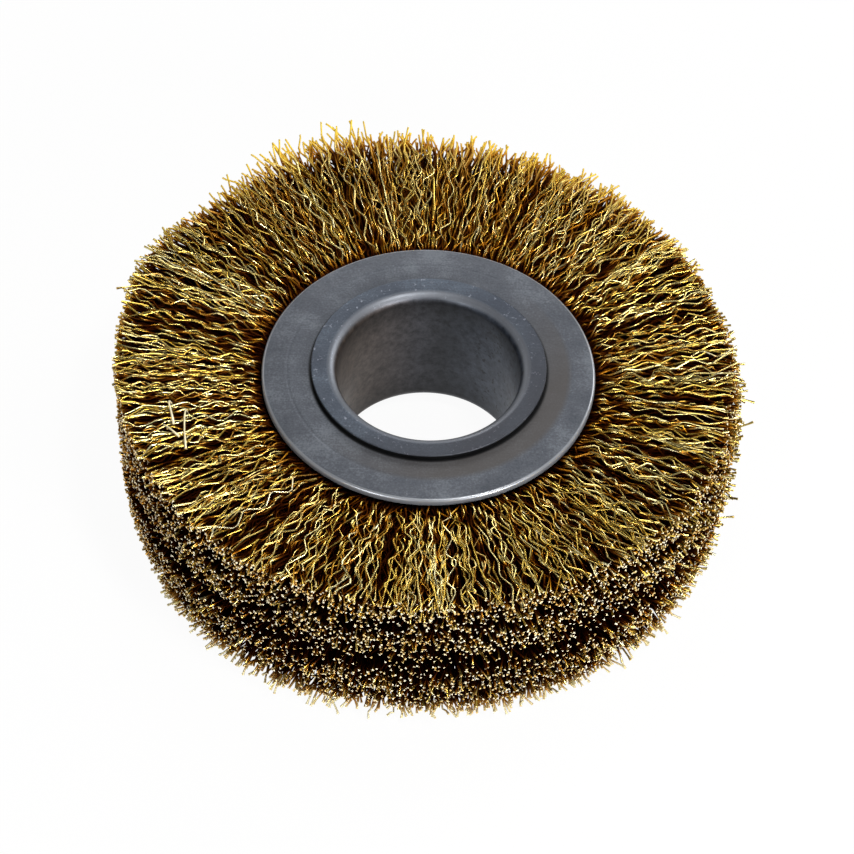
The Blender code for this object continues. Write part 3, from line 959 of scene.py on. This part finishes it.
rays = tree.nodes[-1].outputs
seen = addNode(tree, "Math", {"operation": "MAXIMUM"}, {0: rays["Is Camera Ray"], 1: rays["Is Glossy Ray"]})
seenAny = addNode(tree, "Math", {"operation": "MAXIMUM"}, {0: seen, 1: rays["Is Transmission Ray"]})
lift = addNode(tree, "Math", {"operation": "MULTIPLY", 1: studio["floorLift"]}, {0: seenAny})
white = addNode(tree, "Emission", {"Strength": 1.0})
mix = addNode(tree, "MixShader", links={0: lift, 1: shader.outputs[0], 2: white})
tree.links.new(mix, tree.nodes["Material Output"].inputs["Surface"])
floorMesh.materials.append(floorMaterial)

world = bpy.data.worlds.new("Studio")
world.use_nodes = True
bpy.context.scene.world = world
tree = world.node_tree
direction = tree.nodes.new("ShaderNodeTexCoord").outputs["Generated"]
addNode(tree, "SeparateXYZ", links={"Vector": direction})
heightOut = tree.nodes[-1].outputs["Z"]
worldFade = {
    "From Min": 0.0, "From Max": studio["worldFadeHeight"],
    "To Min": studio["worldHorizon"], "To Max": studio["worldTop"],
}
glow = addNode(tree, "MapRange", worldFade, {"Value": heightOut})
tree.links.new(glow, tree.nodes["Background"].inputs["Strength"])
tree.nodes["Background"].inputs["Color"].default_value = (1.0, 1.0, 1.0, 1.0)


# round softboxes turned to the object: place and width in m, power in W, colour
softboxes = {
    "Key softbox": ((0.25, -0.22, 0.86), 0.16, 3.5, "#FFFDF8"),
    "Back softbox": ((-0.06, 0.80, 0.47), 0.30, 1.8, "#FFFFFF"),
    "High back softbox": ((0.05, 0.40, 0.84), 0.30, 0.8, "#FFFFFF"),
    "Back left softbox": ((-0.60, 0.56, 0.34), 0.30, 0.4, "#FFFFFF"),
    "Back right softbox": ((0.60, 0.50, 0.34), 0.30, 2.0, "#FFFFFF"),
    "Low right softbox": ((0.50, -0.60, 0.30), 0.25, 4.8, "#FFFFFF"),
    "Low left softbox": ((-0.40, -0.74, 0.28), 0.30, 2.6, "#FFFFFF"),
}


def addLamp(name, place, size, power, colour):
    # an area lamp of round shape whose axis goes through the middle of the object
    data = bpy.data.lights.new(name, "AREA")
    data.shape = "DISK"
    data.size = size
    data.energy = power
    data.color = linearColour(colour)[:3]
    lamp = bpy.data.objects.new(name, data)
    bpy.context.scene.collection.objects.link(lamp)
    lamp.location = place
    lamp.rotation_euler = (-Vector(place)).to_track_quat("-Z", "Y").to_euler()


for name, (place, size, power, colour) in softboxes.items():
    addLamp(name, place, size, power, colour)

cameraView = {
    "lens": 126.5,
    "sensorWidth": 36,
    "elevationDeg": 50.063,
    "rollDeg": 1.948,
    "plateRadii": 17.96,
    "shiftRight": -0.010,
    "shiftUp": -0.348,
}


def placeCamera(view):
    # the camera looks along the elevation, turned by the roll, at a distance counted in plate radii
    elevation, roll = math.radians(view["elevationDeg"]), math.radians(view["rollDeg"])
    forward = Vector((0, math.cos(elevation), -math.sin(elevation)))
    level = Vector((1, 0, 0))
    upright = level.cross(forward)
    right = math.cos(roll) * level + math.sin(roll) * upright
    up = -math.sin(roll) * level + math.cos(roll) * upright
    eye = (-forward * view["plateRadii"] + right * view["shiftRight"] + up * view["shiftUp"]) * plateHigh.x
    data = bpy.data.cameras.new("Camera")
    data.lens = view["lens"]
    data.sensor_width = view["sensorWidth"]
    camera = bpy.data.objects.new("Camera", data)
    bpy.context.scene.collection.objects.link(camera)
    rotation = Matrix((right, up, -forward)).transposed()
    camera.matrix_world = Matrix.Translation(eye + Vector((0, 0, plateHigh.z))) @ rotation.to_4x4()
    bpy.context.scene.camera = camera


placeCamera(cameraView)
bpy.context.scene.view_settings.view_transform = "Standard"
print("studio done")
